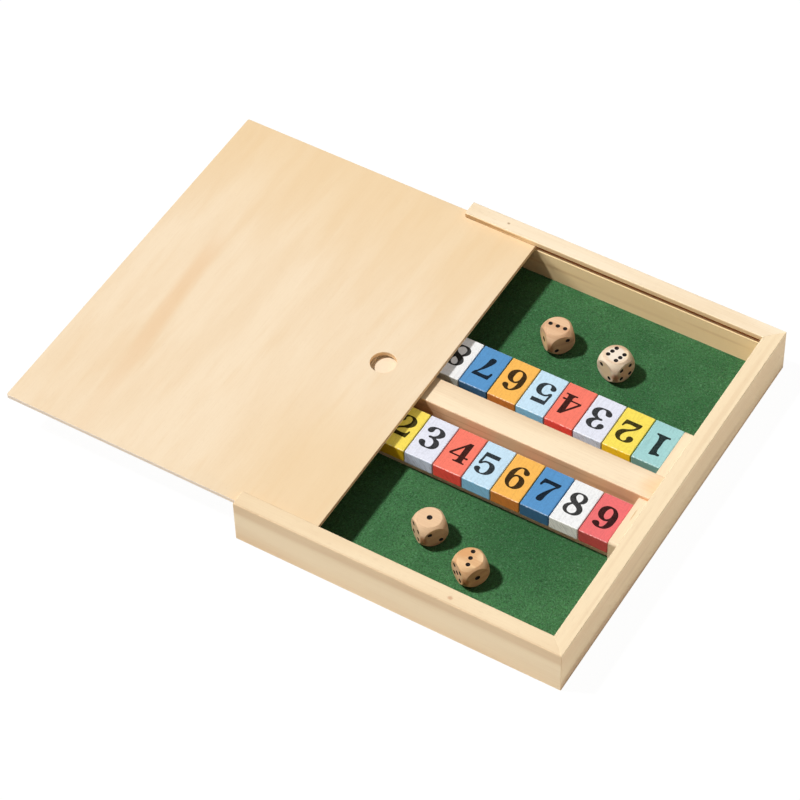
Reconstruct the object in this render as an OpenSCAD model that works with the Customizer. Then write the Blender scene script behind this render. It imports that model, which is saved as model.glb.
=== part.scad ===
// Shut the box game for two players: a shallow wooden tray with a lid that slides
// in grooves, two rows of nine numbered tiles that turn on rods, and four dice.
// X runs along the lid's travel, Y across both trays, and the origin is the middle
// of the underside.

/* [Box] */
// Length of the box, along the lid's travel
box_l = 200; // [190:1:220]
// Width of the box, across both dice trays
box_w = 255; // [250:1:280]
// Height of the rails
box_h = 30; // [29:0.5:34]
// Thickness of the rails
rail_t = 10; // [9:0.5:12]
// Thickness of the bottom panel
panel_t = 4; // [3:0.5:4]
// Thickness of the felt
felt_t = 1; // [0.8:0.1:1.5]

/* [Lid] */
// Thickness of the lid's plywood
lid_t = 2.8; // [2.4:0.1:3]
// Length of the lid
lid_l = 197; // [180:1:200]
// Depth of the grooves that hold the lid
groove_d = 6; // [4:0.5:6]
// Height of the grooves
groove_h = 3.4; // [3.2:0.1:4]
// Wood left above the grooves
lip_t = 3.2; // [3:0.1:4]
// How far the lid stands open
lid_open = 149.7; // [0:0.1:190]
// Diameter of the finger hole
hole_d = 15; // [12:0.5:18]
// Distance of the finger hole from the lid's closing edge
hole_inset = 29.5; // [20:0.5:40]

/* [Tiles] */
// Length of a tile
tile_l = 29.7; // [27:0.1:31]
// Width of a tile
tile_w = 17.45; // [16.5:0.05:17.6]
// Thickness of a tile
tile_t = 9; // [7:0.5:9.5]
// Gap between neighbouring tiles
tile_gap = 0.5; // [0.3:0.05:0.6]
// Gap between the tiles and the centre bar, in which a tile's end swings
swing_gap = 5.65; // [5:0.05:7]
// Diameter of the rods that the tiles turn on
rod_d = 3; // [2:0.5:4]

/* [Tile bed] */
// Width of the centre bar
bar_w = 17.5; // [15:0.5:20]
// Height of the centre bar
bar_h = 18; // [17:0.5:18.5]
// Height of the strips that the tiles lie on
rest_h = 6.5; // [6:0.5:7]
// How far a tile's free end stands out over its strip
overhang = 2.5; // [1:0.5:4]
// Width of the blocks at the ends of the rows
block_w = 8.5; // [8:0.5:9]
// Height of the blocks
block_h = 16.5; // [15:0.5:17]

/* [Dice] */
// Edge of a die
die_s = 16; // [14:0.5:16]
// Radius of the ball that rounds a die's corners
die_round = 10.5; // [10:0.1:12]
// Distance of the pips from the middle of a face
pip_step = 3.2; // [2.5:0.1:3.6]
// Diameter of a pip
pip_d = 2.4; // [1.8:0.1:2.6]

/* [Hidden] */
$fn = 64;
tiles = 9;
ease = 0.5;            // eased edges of the rails
snug = 0.15;           // room round loose and laid pieces
lid_play = 0.6;        // room on each side of the lid in its grooves
bore_room = 0.05;      // room round a rod in a tile's bore
tile_edge = 0.6;       // rounding of a tile's edges
block_round = 2;       // rounding of a block's edge on the felt side
bar_side_round = 1.2;  // rounding of a block's edge on the bar side
butt_room = 0.5;       // room between a strip and the swing of a tile's end
rod_seat = 6;          // depth of a rod's end in its block
seat_room = 0.04;      // how much wider that hole is than the rod
pip_depth = 0.7;

x_end = box_l / 2;
y_end = box_w / 2;
x_in = x_end - rail_t;
y_in = y_end - rail_t;
panel_seat = rail_t / 2;

groove_top = box_h - lip_t;
groove_z = groove_top - groove_h;
lid_z = groove_z + snug;
lid_w = box_w - 2 * (rail_t - groove_d) - 2 * lid_play;
lid_shut_x = x_in + groove_d - 2 * snug;
lid_right = lid_shut_x - lid_open;

felt_z = panel_t;
felt_top = felt_z + felt_t;

bar_top = panel_t + bar_h;
rest_top = panel_t + rest_h;
row_near = bar_w / 2 + swing_gap;
row_far = row_near + tile_l;
rod_y = row_near + tile_t / 2;
rod_z = rest_top + tile_t / 2;
bed_end = x_in - block_w;
row_right = bed_end - 2 * snug;
tile_pitch = tile_w + tile_gap;
rest_far = row_far - overhang;
rest_near = rod_y + tile_t / 2 + butt_room;
rod_l = 2 * (bed_end + rod_seat);

// Places of the dice on the felt: x, y and turn about the vertical
die_spots = [[-15.5, 75.4, 48], [22.8, 73.2, 71], [-8.2, -77.2, 53], [24.3, -89.8, 57.5]];
// Numbers on top, in front and on the left of each die
die_faces = [[3, 2, 1], [6, 4, 2], [1, 2, 4], [3, 1, 5]];
// Quarter turns of the pips on those faces
die_turns = [[1, 0, 0], [1, 0, 0], [0, 1, 0], [0, 0, 0]];

tile_paint = ["#a6d9d3", "#ffe24f", "#e4e4f4", "#ff7865", "#c2e6f7", "#ffb84f", "#4f95ce", "#f6f4f2", "#f56d70"];
rail_wood = "#fee5be";
lid_wood = "#f5ddb8";
bed_wood = "#f3d9b0";
die_wood = "#f6d9b4";

// Left edge of the tile in a column, counted from the left
function column_x(c) = row_right - (tiles + 1 - c) * tile_pitch + tile_gap;

// A stick with the given section, along X from one place to another
module stick(from_x, to_x) {
    translate([from_x, 0, 0])
        rotate([90, 0, 90])
            linear_extrude(to_x - from_x)
                children();
}

// A rectangle whose four corners have a radius
module soft_rect(w, h, r) {
    translate([r, 0]) square([w - 2 * r, h]);
    translate([0, r]) square([w, h - 2 * r]);
    for (x = [r, w - r], y = [r, h - r])
        translate([x, y]) circle(r);
}

// Section of a grooved rail, with its outer face at 0
module rail_section() {
    polygon([
        [ease, 0], [rail_t, 0], [rail_t, groove_z],
        [rail_t - groove_d, groove_z], [rail_t - groove_d, groove_top], [rail_t, groove_top],
        [rail_t, box_h - ease], [rail_t - ease, box_h], [ease, box_h],
        [0, box_h - ease], [0, ease]
    ]);
}

// Space that the bottom panel fills, let into the rails
module panel_space() {
    translate([-x_end + panel_seat, -y_end + panel_seat, 0])
        cube([box_l - 2 * panel_seat, box_w - 2 * panel_seat, panel_t]);
}

// Long rail in front: square cut on the left, mitred on the right
module front_rail() {
    color(rail_wood)
        difference() {
            intersection() {
                translate([0, -y_end, 0]) stick(-x_end, x_end) rail_section();
                linear_extrude(box_h)
                    polygon([[-x_end, -y_end], [x_end, -y_end], [x_in, -y_in], [-x_end, -y_in]]);
            }
            panel_space();
        }
}

module back_rail() {
    mirror([0, 1, 0]) front_rail();
}

// End rail that the lid closes into, mitred at both ends
module right_end_rail() {
    color(rail_wood)
        difference() {
            intersection() {
                rotate([0, 0, 90])
                    translate([0, -x_end, 0]) stick(-y_end, y_end) rail_section();
                linear_extrude(box_h)
                    polygon([[x_end, -y_end], [x_end, y_end], [x_in, y_in], [x_in, -y_in]]);
            }
            panel_space();
        }
}

// Low end rail that the lid passes over
module left_end_rail() {
    low_h = groove_z - snug;
    color(rail_wood)
        difference() {
            rotate([0, 0, 90])
                translate([0, x_in, 0])
                    stick(-y_in, y_in)
                        polygon([
                            [0, 0], [rail_t - ease, 0], [rail_t, ease], [rail_t, low_h - ease],
                            [rail_t - ease, low_h], [ease, low_h], [0, low_h - ease]
                        ]);
            panel_space();
        }
}

module bottom_panel() {
    color(lid_wood) panel_space();
}

// Felt of the front tray, cut round the end blocks
module front_felt() {
    x_out = x_in - snug;
    x_notch = bed_end - snug;
    y_rail = -y_in + snug;
    y_block = -row_far - snug;
    y_rest = -rest_far - snug;
    color("#3e7544")
        translate([0, 0, felt_z])
            linear_extrude(felt_t)
                polygon([
                    [-x_out, y_rail], [x_out, y_rail], [x_out, y_block], [x_notch, y_block],
                    [x_notch, y_rest], [-x_notch, y_rest], [-x_notch, y_block], [-x_out, y_block]
                ]);
}

module back_felt() {
    mirror([0, 1, 0]) front_felt();
}

// Bar between the two rows, which flipped tiles lean on
module centre_bar() {
    color(bed_wood)
        translate([0, -bar_w / 2, panel_t])
            stick(-x_in, x_in) soft_rect(bar_w, bar_h, ease);
}

// Strip under the free ends of the front tiles
module front_tile_rest() {
    color(bed_wood)
        translate([0, -rest_far, panel_t])
            stick(-bed_end, bed_end)
                polygon([
                    [0, 0], [rest_far - rest_near, 0], [rest_far - rest_near, rest_h],
                    [ease, rest_h], [0, rest_h - ease]
                ]);
}

module back_tile_rest() {
    mirror([0, 1, 0]) front_tile_rest();
}

// Round rod that nine tiles turn on
module row_rod() {
    color("silver")
        translate([-rod_l / 2, -rod_y, rod_z])
            rotate([0, 90, 0]) cylinder(d = rod_d, h = rod_l);
}

module front_rod() {
    row_rod();
}

module back_rod() {
    mirror([0, 1, 0]) row_rod();
}

// Section of an end block, from the felt side on the left to the bar side
module block_section() {
    block_l = row_far - bar_w / 2;
    flat_l = block_l - bar_side_round;
    square([flat_l, block_h - block_round]);
    translate([block_round, 0]) square([flat_l - block_round, block_h]);
    translate([block_round, block_h - block_round]) circle(block_round);
    translate([flat_l, block_h - bar_side_round]) circle(bar_side_round);
    translate([flat_l, 0]) square([bar_side_round, block_h - bar_side_round]);
}

// Block at the right end of the front row, with a blind hole for the rod
module end_block() {
    color(bed_wood)
        difference() {
            translate([0, -row_far, panel_t]) stick(bed_end, x_in) block_section();
            translate([bed_end - 1, -rod_y, rod_z])
                rotate([0, 90, 0]) cylinder(d = rod_d + seat_room, h = rod_seat + 1);
        }
}

module front_right_block() {
    end_block();
}

module front_left_block() {
    mirror([1, 0, 0]) end_block();
}

module back_right_block() {
    mirror([0, 1, 0]) end_block();
}

module back_left_block() {
    mirror([0, 1, 0]) front_left_block();
}

// Thin plywood lid with a finger hole, drawn as it stands open
module lid() {
    corner = 1;
    color(lid_wood)
        translate([0, 0, lid_z])
            linear_extrude(lid_t)
                difference() {
                    translate([lid_right - lid_l, -lid_w / 2]) soft_rect(lid_l, lid_w, corner);
                    translate([lid_right - hole_inset, 0]) circle(d = hole_d);
                }
}

// Tile of the front row, lying flat, in a column counted from the left
module row_tile(column, paint) {
    color(paint)
        difference() {
            translate([0, -row_far, rest_top])
                stick(column_x(column), column_x(column) + tile_w)
                    soft_rect(tile_l, tile_t, tile_edge);
            translate([column_x(column) - 1, -rod_y, rod_z])
                rotate([0, 90, 0]) cylinder(d = rod_d + 2 * bore_room, h = tile_w + 2);
        }
}

// The front row counts from the left
module front_tile(n) {
    row_tile(n, tile_paint[n - 1]);
}

// The back row counts from the right, for the player on the other side
module back_tile(n) {
    mirror([0, 1, 0]) row_tile(tiles + 1 - n, tile_paint[n - 1]);
}

// Places of the pips of a number, in steps from the middle of its face
function pips(n) =
    n == 1 ? [[0, 0]] :
    n == 2 ? [[1, 1], [-1, -1]] :
    n == 3 ? concat(pips(2), pips(1)) :
    n == 4 ? [[1, 1], [-1, -1], [1, -1], [-1, 1]] :
    n == 5 ? concat(pips(4), pips(1)) :
    concat(pips(4), [[1, 0], [-1, 0]]);

// Dimples of one number on the top face
module dimples(n) {
    bowl_r = (pow(pip_d / 2, 2) + pow(pip_depth, 2)) / (2 * pip_depth);
    for (p = pips(n))
        translate([p[0] * pip_step, p[1] * pip_step, die_s / 2 - pip_depth + bowl_r])
            sphere(bowl_r, $fn = 32);
}

// Die with rounded corners, standing on the felt
module die(n) {
    spot = die_spots[n - 1];
    faces = die_faces[n - 1];
    turns = die_turns[n - 1];
    color(die_wood)
        translate([spot[0], spot[1], felt_top + die_s / 2])
            rotate([0, 0, spot[2]])
                difference() {
                    intersection() {
                        cube(die_s, center = true);
                        sphere(die_round);
                    }
                    rotate([0, 0, 90 * turns[0]]) dimples(faces[0]);
                    rotate([90, 0, 0]) rotate([0, 0, 90 * turns[1]]) dimples(faces[1]);
                    rotate([0, -90, 0]) rotate([0, 0, 90 * turns[2]]) dimples(faces[2]);
                    rotate([180, 0, 0]) dimples(7 - faces[0]);
                    rotate([-90, 0, 0]) dimples(7 - faces[1]);
                    rotate([0, 90, 0]) dimples(7 - faces[2]);
                }
}

front_rail();
back_rail();
right_end_rail();
left_end_rail();
bottom_panel();
front_felt();
back_felt();
centre_bar();
front_tile_rest();
back_tile_rest();
front_rod();
back_rod();
front_left_block();
front_right_block();
back_left_block();
back_right_block();
lid();
for (n = [1:tiles]) {
    front_tile(n);
    back_tile(n);
}
for (n = [1:4])
    die(n);
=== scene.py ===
# Shut the box game for two players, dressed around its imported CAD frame.
# A shallow pine tray with a plywood lid that slides in grooves, two rows of nine
# painted tiles that turn on rods, green felt in both dice trays, and four dice.

import math

import bpy
from mathutils import Matrix, Vector


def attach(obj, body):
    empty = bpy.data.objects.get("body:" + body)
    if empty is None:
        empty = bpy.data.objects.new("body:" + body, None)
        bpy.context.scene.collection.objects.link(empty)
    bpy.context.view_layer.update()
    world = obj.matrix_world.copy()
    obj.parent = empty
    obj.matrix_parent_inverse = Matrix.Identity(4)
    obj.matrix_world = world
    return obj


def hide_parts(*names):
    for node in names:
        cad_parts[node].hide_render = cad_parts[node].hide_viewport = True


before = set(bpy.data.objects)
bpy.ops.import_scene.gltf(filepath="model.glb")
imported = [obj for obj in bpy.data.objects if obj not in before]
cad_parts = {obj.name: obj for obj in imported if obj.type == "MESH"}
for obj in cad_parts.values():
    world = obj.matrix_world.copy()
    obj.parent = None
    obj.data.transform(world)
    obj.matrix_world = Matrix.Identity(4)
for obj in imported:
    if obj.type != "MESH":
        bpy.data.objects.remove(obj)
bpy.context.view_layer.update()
MM = 0.001


# Camera
# Stands where the photograph was taken from, worked out from the tray's straight
# edges: high up, in front of the tray and to its right, and turned a little.
photo_width = 800
focal_px = 3261.4
azimuth = math.radians(32.532)
elevation = math.radians(49.71)
roll = math.radians(-2.001)
aim = Vector((-73.57, 0.09, 0)) * MM
camera_distance = 1814.94 * MM

to_camera = Vector((
    math.sin(azimuth) * math.cos(elevation),
    -math.cos(azimuth) * math.cos(elevation),
    math.sin(elevation),
))
level_right = (-to_camera).cross(Vector((0, 0, 1))).normalized()
level_up = level_right.cross(-to_camera)
camera_right = level_right * math.cos(roll) + level_up * math.sin(roll)
camera_up = level_up * math.cos(roll) - level_right * math.sin(roll)
camera_data = bpy.data.cameras.new("camera")
camera_data.sensor_width = 36
camera_data.lens = focal_px / photo_width * camera_data.sensor_width
camera_data.clip_end = 20
camera = bpy.data.objects.new("camera", camera_data)
bpy.context.scene.collection.objects.link(camera)
stand = Matrix((camera_right, camera_up, to_camera)).transposed().to_4x4()
stand.translation = aim + to_camera * camera_distance
camera.matrix_world = stand
bpy.context.scene.camera = camera


# Grooved rails
# Three pine rails, planed and sanded, with eased edges and a groove for the lid. The
# long ones are square cut on the left and mitred into the end rail on the right.
outer_x = 100
outer_y = 127.5
rail_t = 10
rail_h = 30
inner_x = outer_x - rail_t
inner_y = outer_y - rail_t
rail_edge = 0.5
cut_edge = 0.15
groove_low = 23.4
groove_high = 26.8
groove_depth = 6
panel_t = 4
panel_seat = 5
past = 1


def select_only(piece=None):
    if bpy.context.object and bpy.context.object.mode != "OBJECT":
        bpy.ops.object.mode_set(mode="OBJECT")
    bpy.ops.object.select_all(action="DESELECT")
    if piece:
        bpy.context.view_layer.objects.active = piece
        piece.select_set(True)


def timber(name, low, high):
    """A squared piece of wood between two corners in millimetres."""
    select_only()
    low = Vector(low) * MM
    high = Vector(high) * MM
    bpy.ops.mesh.primitive_cube_add(size=1, location=(low + high) / 2, scale=high - low)
    piece = bpy.context.object
    piece.name = name
    bpy.ops.object.transform_apply(location=True, rotation=True, scale=True)
    return piece


def finish_with(piece, kind, **settings):
    select_only(piece)
    modifier = piece.modifiers.new(kind.lower(), kind)
    for setting, value in settings.items():
        setattr(modifier, setting, value)
    bpy.ops.object.modifier_apply(modifier=modifier.name)


def round_edges(piece, radius, steps=3, sharper_than=30):
    finish_with(piece, "BEVEL", width=radius * MM, segments=steps, limit_method="ANGLE",
                angle_limit=math.radians(sharper_than))


def cut_away(piece, tool, material_mode="INDEX"):
    finish_with(piece, "BOOLEAN", object=tool, operation="DIFFERENCE", solver="EXACT",
                material_mode=material_mode)
    bpy.data.objects.remove(tool)


def drill(radius, length, middle, sides, turn=(0, 0, 0)):
    """A cylinder to drill with, upright unless it is turned."""
    select_only()
    bpy.ops.mesh.primitive_cylinder_add(vertices=sides, radius=radius * MM, depth=length * MM,
                                        location=Vector(middle) * MM, rotation=turn)
    bit = bpy.context.object
    bpy.ops.object.transform_apply(location=True, rotation=True, scale=True)
    return bit


def saw_off(piece, point, normal):
    """Saws off what lies beyond a plane, on the side that the normal points to."""
    select_only(piece)
    bpy.ops.object.mode_set(mode="EDIT")
    bpy.ops.mesh.select_all(action="SELECT")
    bpy.ops.mesh.bisect(plane_co=Vector(point) * MM, plane_no=normal, use_fill=True,
                        clear_outer=True)
    bpy.ops.object.mode_set(mode="OBJECT")


def smooth(piece, angle=35):
    """Smooth shading up to an angle, with the large faces kept flat beside their edges."""
    select_only(piece)
    bpy.ops.object.shade_smooth_by_angle(angle=math.radians(angle))
    finish_with(piece, "WEIGHTED_NORMAL", keep_sharp=True)


def stand_for(piece, node, body):
    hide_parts(node)
    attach(piece, body)


def grooved_rail(name, low, high):
    rail = timber(name, low, high)
    round_edges(rail, rail_edge)
    lid_room = timber("lid_room", (-outer_x - past, -inner_y - groove_depth, groove_low),
                      (inner_x + groove_depth, inner_y + groove_depth, groove_high))
    cut_away(rail, lid_room)
    panel_room = timber("panel_room", (-inner_x - panel_seat, -inner_y - panel_seat, -past),
                        (inner_x + panel_seat, inner_y + panel_seat, panel_t))
    cut_away(rail, panel_room)
    return rail


front_rail = grooved_rail("front_rail_pine", (-outer_x, -outer_y, 0), (outer_x, -inner_y, rail_h))
saw_off(front_rail, (outer_x, -outer_y, 0), (1, 1, 0))
back_rail = grooved_rail("back_rail_pine", (-outer_x, inner_y, 0), (outer_x, outer_y, rail_h))
saw_off(back_rail, (outer_x, outer_y, 0), (1, -1, 0))
right_rail = grooved_rail("right_end_rail_pine", (inner_x, -outer_y, 0), (outer_x, outer_y, rail_h))
saw_off(right_rail, (outer_x, -outer_y, 0), (-1, -1, 0))
saw_off(right_rail, (outer_x, outer_y, 0), (-1, 1, 0))

# The end rail that the lid passes over is lower and stands between the long ones
left_rail_h = 23.25
left_rail = timber("left_end_rail_pine", (-outer_x, -inner_y, 0), (-inner_x, inner_y, left_rail_h))
round_edges(left_rail, rail_edge)
cut_away(left_rail, timber("panel_room", (-inner_x - panel_seat, -outer_y, -past),
                           (inner_x, outer_y, panel_t)))

for rail in (front_rail, back_rail, right_rail, left_rail):
    round_edges(rail, cut_edge, steps=1, sharper_than=40)
    smooth(rail)


def colour(code):
    """A colour as written on screens, as the linear values that a shader takes."""
    parts = [int(code[i:i + 2], 16) / 255 for i in (1, 3, 5)]
    return [(p / 12.92 if p <= 0.04045 else ((p + 0.055) / 1.055) ** 2.4) for p in parts] + [1]


def add_node(tree, kind, inputs=(), **settings):
    """A shader node. Its inputs are given by name or number, as values or as sockets."""
    made = tree.nodes.new("ShaderNode" + kind)
    for setting, value in settings.items():
        setattr(made, setting, value)
    for key, value in dict(inputs).items():
        if isinstance(value, bpy.types.NodeSocket):
            tree.links.new(value, made.inputs[key])
        else:
            made.inputs[key].default_value = value
    return made


def reckon(tree, operation, first, second=0.0, third=0.0):
    return add_node(tree, "Math", {0: first, 1: second, 2: third}, operation=operation).outputs[0]


def vectors(tree, operation, first, second=(0, 0, 0)):
    """Vector arithmetic. A length or a distance comes out as a value."""
    made = add_node(tree, "VectorMath", {0: first, 1: second}, operation=operation)
    return made.outputs["Value" if operation in ("LENGTH", "DISTANCE") else "Vector"]


def stretch(tree, vector, factors):
    return vectors(tree, "MULTIPLY", vector, factors)


def ramp(tree, value, low, high, to_low=0.0, to_high=1.0):
    made = add_node(tree, "MapRange", {0: value, 1: low, 2: high, 3: to_low, 4: to_high},
                    interpolation_type="SMOOTHSTEP")
    return made.outputs[0]


def noise(tree, vector, scale, detail=2.0, roughness=0.5):
    return add_node(tree, "TexNoise", {"Vector": vector, "Scale": scale, "Detail": detail,
                                       "Roughness": roughness})


def blend_colours(tree, factor, first, second):
    return add_node(tree, "Mix", {0: factor, 6: first, 7: second}, data_type="RGBA").outputs[2]


def new_group(name, inputs, outputs):
    tree = bpy.data.node_groups.new(name, "ShaderNodeTree")
    kinds = {"value": "NodeSocketFloat", "vector": "NodeSocketVector", "colour": "NodeSocketColor"}
    for label, kind in inputs:
        tree.interface.new_socket(name=label, in_out="INPUT", socket_type=kinds[kind])
    for label, kind in outputs:
        tree.interface.new_socket(name=label, in_out="OUTPUT", socket_type=kinds[kind])
    return tree, tree.nodes.new("NodeGroupInput").outputs, tree.nodes.new("NodeGroupOutput").inputs


def make_wood_figure():
    """Growth rings round a pith, fibres and small pores, with the grain along X."""
    tree, given, result = new_group(
        "wood_figure",
        [("Vector", "vector"), ("Pale", "colour"), ("Dark", "colour"), ("Ring Width", "value"),
         ("Ring Strength", "value"), ("Fibre Strength", "value"), ("Wander", "value")],
        [("Color", "colour"), ("Height", "value")])
    place = given["Vector"]
    slow = noise(tree, stretch(tree, place, (0.006, 0.03, 0.03)), 1.0)
    centred = vectors(tree, "SUBTRACT", slow.outputs["Color"], (0.5, 0.5, 0.5))
    pushed = add_node(tree, "VectorMath", {0: centred, "Scale": given["Wander"]},
                      operation="SCALE").outputs[0]
    bent = vectors(tree, "ADD", place, pushed)
    across = vectors(tree, "LENGTH", stretch(tree, bent, (0, 1, 1)))
    ring = reckon(tree, "FRACT", reckon(tree, "DIVIDE", across, given["Ring Width"]))
    darkening = ramp(tree, ring, 0.2, 0.88)
    late_end = ramp(tree, ring, 0.88, 1.0, 1.0, 0.0)
    fading = noise(tree, stretch(tree, place, (0.008, 0.05, 0.05)), 1.0).outputs[0]
    shown = ramp(tree, fading, 0.35, 0.65, 0.45, 1.0)
    late = reckon(tree, "MULTIPLY", reckon(tree, "MULTIPLY", darkening, late_end), shown)
    fibre = noise(tree, stretch(tree, place, (0.035, 1.6, 1.6)), 1.0, 4.0, 0.6).outputs[0]
    cloud = noise(tree, stretch(tree, place, (0.012, 0.09, 0.09)), 1.0).outputs[0]
    pore_noise = noise(tree, stretch(tree, place, (0.22, 4.5, 4.5)), 1.0, 1.0).outputs[0]
    pores = ramp(tree, pore_noise, 0.66, 0.76)
    shade = reckon(tree, "MULTIPLY", late, given["Ring Strength"])
    clouded = reckon(tree, "MULTIPLY_ADD", reckon(tree, "SUBTRACT", cloud, 0.5), 0.5, shade)
    fibred = reckon(tree, "MULTIPLY_ADD", reckon(tree, "SUBTRACT", fibre, 0.5),
                    given["Fibre Strength"], clouded)
    pored = reckon(tree, "MULTIPLY_ADD", pores, reckon(tree, "MULTIPLY", given["Fibre Strength"], 0.35),
                   fibred)
    mixed = blend_colours(tree, pored, given["Pale"], given["Dark"])
    relief = reckon(tree, "SUBTRACT", reckon(tree, "MULTIPLY_ADD", late, 0.3, fibre), pores)
    tree.links.new(mixed, result["Color"])
    tree.links.new(relief, result["Height"])
    return tree


def new_material(name, roughness, **shader):
    """An empty material with its shader. The keywords set the shader's own sockets."""
    material = bpy.data.materials.new(name)
    material.use_nodes = True
    tree = material.node_tree
    surface = tree.nodes["Principled BSDF"]
    surface.inputs["Roughness"].default_value = roughness
    for label, value in shader.items():
        surface.inputs[label.replace("_", " ")].default_value = value
    return material, tree, surface


def object_place(tree, shift=(0, 0, 0), turn=(0, 0, 0)):
    """Where a point lies on the object in millimetres, turned and then shifted."""
    where = add_node(tree, "TexCoord").outputs["Object"]
    angles = [math.radians(a) for a in turn]
    return add_node(tree, "Mapping", {"Vector": where, "Location": shift, "Rotation": angles,
                                      "Scale": (1000, 1000, 1000)}).outputs[0]


def raise_surface(tree, surface, height, depth):
    """Bump from a height whose full range is depth in millimetres."""
    bump = add_node(tree, "Bump", {"Height": height, "Distance": depth * MM})
    tree.links.new(bump.outputs[0], surface.inputs["Normal"])


wood_figure = make_wood_figure()


def wood(name, pale, dark, pith, grain="x", ring_width=9.0, rings=0.5, fibres=0.5, wander=9.0,
         roughness=0.55, depth=0.05):
    """Bare sanded wood. The pith is where the middle of the tree lies, in millimetres."""
    material, tree, surface = new_material(name, roughness, Specular_IOR_Level=0.35)
    turns = {"x": (0, 0, 0), "y": (0, 0, -90)}
    where = object_place(tree, pith, turns[grain])
    figure = add_node(tree, "Group", node_tree=wood_figure)
    values = {"Pale": colour(pale), "Dark": colour(dark), "Ring Width": ring_width,
              "Ring Strength": rings, "Fibre Strength": fibres, "Wander": wander}
    for label, value in values.items():
        figure.inputs[label].default_value = value
    tree.links.new(where, figure.inputs["Vector"])
    tree.links.new(figure.outputs["Color"], surface.inputs["Base Color"])
    raise_surface(tree, surface, figure.outputs["Height"], depth)
    return material


# Millimetres within which the edge of a mark wanders
mark_fray = 0.8


def add_mark(material, spot, size, tone, strength, core=0.25):
    """A soft-edged oval in the wood. Its core is the share of it that has the full tone."""
    tree = material.node_tree
    base = tree.nodes["Principled BSDF"].inputs["Base Color"]
    where = object_place(tree)
    ragged = noise(tree, where, 1.2, 2.0).outputs["Color"]
    frayed = vectors(tree, "ADD", where, stretch(tree, ragged, [mark_fray] * 3))
    off = vectors(tree, "SUBTRACT", frayed, [c + mark_fray / 2 for c in spot])
    share = vectors(tree, "LENGTH", stretch(tree, off, [1 / c for c in size]))
    inside = ramp(tree, share, core, 1.0, strength, 0.0)
    marked = blend_colours(tree, inside, base.links[0].from_socket, colour(tone))
    tree.links.new(marked, base)


def add_marks(material, *marks):
    """Knots, streaks and bands, each with its place and half sizes in millimetres, its
    tone and its strength, and some with their core. A band that runs through the whole
    piece is given far more than its length."""
    for mark in marks:
        add_mark(material, *mark)


def put_on(piece, *materials):
    piece.data.materials.clear()
    for material in materials:
        piece.data.materials.append(material)


pine_pale = "#fde8c5"
pine_dark = "#dcb588"
front_pine = wood("front_rail_pine", pine_pale, pine_dark, (30, 118, -68), ring_width=24,
                  rings=0.42, fibres=0.34, wander=7)
back_pine = wood("back_rail_pine", "#fdedd3", "#dcb886", (-60, -118, 46), ring_width=13,
                 rings=0.28, fibres=0.45, wander=14)
right_pine = wood("right_end_rail_pine", pine_pale, pine_dark, (10, 98, 43), grain="y",
                  ring_width=24, rings=0.3, fibres=0.5, wander=9)
left_pine = wood("left_end_rail_pine", pine_pale, pine_dark, (80, -60, 30), grain="y",
                 ring_width=16, rings=0.35, fibres=0.4)
# A knot on top, and the brown band along the upper half of the front
add_marks(front_pine,
          ((31.8, -123.5, 30), (2.1, 1.7, 2.0), "#d3a37f", 0.75),
          ((0, -outer_y, 27.5), (500, 1.6, 9), "#c99d6b", 0.26, 0.35))
# A knot on top, the yellower inner side with its streaks, the lip, and two marks of painted shade
add_marks(back_pine,
          ((-74.1, 122.6, 30), (1.3, 1.0, 1.2), "#a98a68", 0.85),
          ((0, inner_y, 14), (500, 2.2, 17), "#fbdfa4", 0.75, 0.85),
          ((-38, inner_y, 15), (34, 2.0, 1.6), "#b98c56", 0.3),
          ((12, inner_y, 11), (48, 2.0, 2.0), "#b98c56", 0.12),
          ((62, inner_y, 16), (30, 2.0, 1.4), "#c1955f", 0.25),
          ((0, inner_y, 28.1), (500, 2.2, 1.6), "#deb187", 0.4, 0.8),
          # Painted shade on the lip where it stands over the lid
          ((-150, inner_y, 28.1), (100, 2.2, 1.6), "#ab855a", 0.8, 0.8),
          # Painted shade in the groove under the lip, not a stain
          ((0, inner_y + 4.6, 24.8), (500, 3.4, 4.0), "#c5803c", 0.95, 0.8))
# The darker foot of the outside, with streaks above it, and three streaks on top
add_marks(right_pine,
          ((outer_x, -100, 0), (1.6, 85, 9), "#b78d60", 0.4, 0.6),
          ((outer_x, 0, 0), (1.6, 400, 3.5), "#a87f56", 0.4, 0.5),
          ((outer_x, 45, 9), (1.6, 42, 4), "#b48a5f", 0.22),
          ((outer_x, -50, 17), (1.6, 30, 3), "#b9905f", 0.14),
          ((96.5, 60, 30), (2.4, 95, 3), "#cb9f70", 0.18),
          ((93.6, -45, 30), (1.3, 42, 2), "#cfa374", 0.13),
          ((97.4, -92, 30), (1.4, 28, 2), "#c6976a", 0.13))
for rail, pine, node in (
        (front_rail, front_pine, "front_rail"), (back_rail, back_pine, "back_rail"),
        (right_rail, right_pine, "right_end_rail"), (left_rail, left_pine, "left_end_rail")):
    put_on(rail, pine)
    stand_for(rail, node, "box")


# Bottom panel
# Thin plywood let flush into the undersides of the rails and glued there. Felt hides
# its upper side, so that only the underside shows.
put_on(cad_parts["bottom_panel"],
       wood("panel_plywood", "#f3dcb6", "#d8b888", (20, 300, 12), ring_width=26, rings=0.35,
            fibres=0.3, wander=60))


# Felt
# Two pieces of green craft felt, one in each dice tray, cut round the end blocks and
# glued down. Short fibres stand up from it and catch the light.
felt_room = 0.15
felt_low = panel_t
felt_top = 5
row_far = 44.1
rest_far = 41.6
bed_end = 81.5
felt_cell = 1.0
nap_size = 4
nap_height = 0.25
# Beside the front tiles the felt is unfaded within the first distance of this place, and
# like the rest of it beyond the second
fresh_spot = (40, -42, felt_top)
fresh_near = 8
fresh_far = 62


def cut_line(point, normal):
    bpy.ops.mesh.select_all(action="SELECT")
    bpy.ops.mesh.bisect(plane_co=Vector(point) * MM, plane_no=normal)


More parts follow.
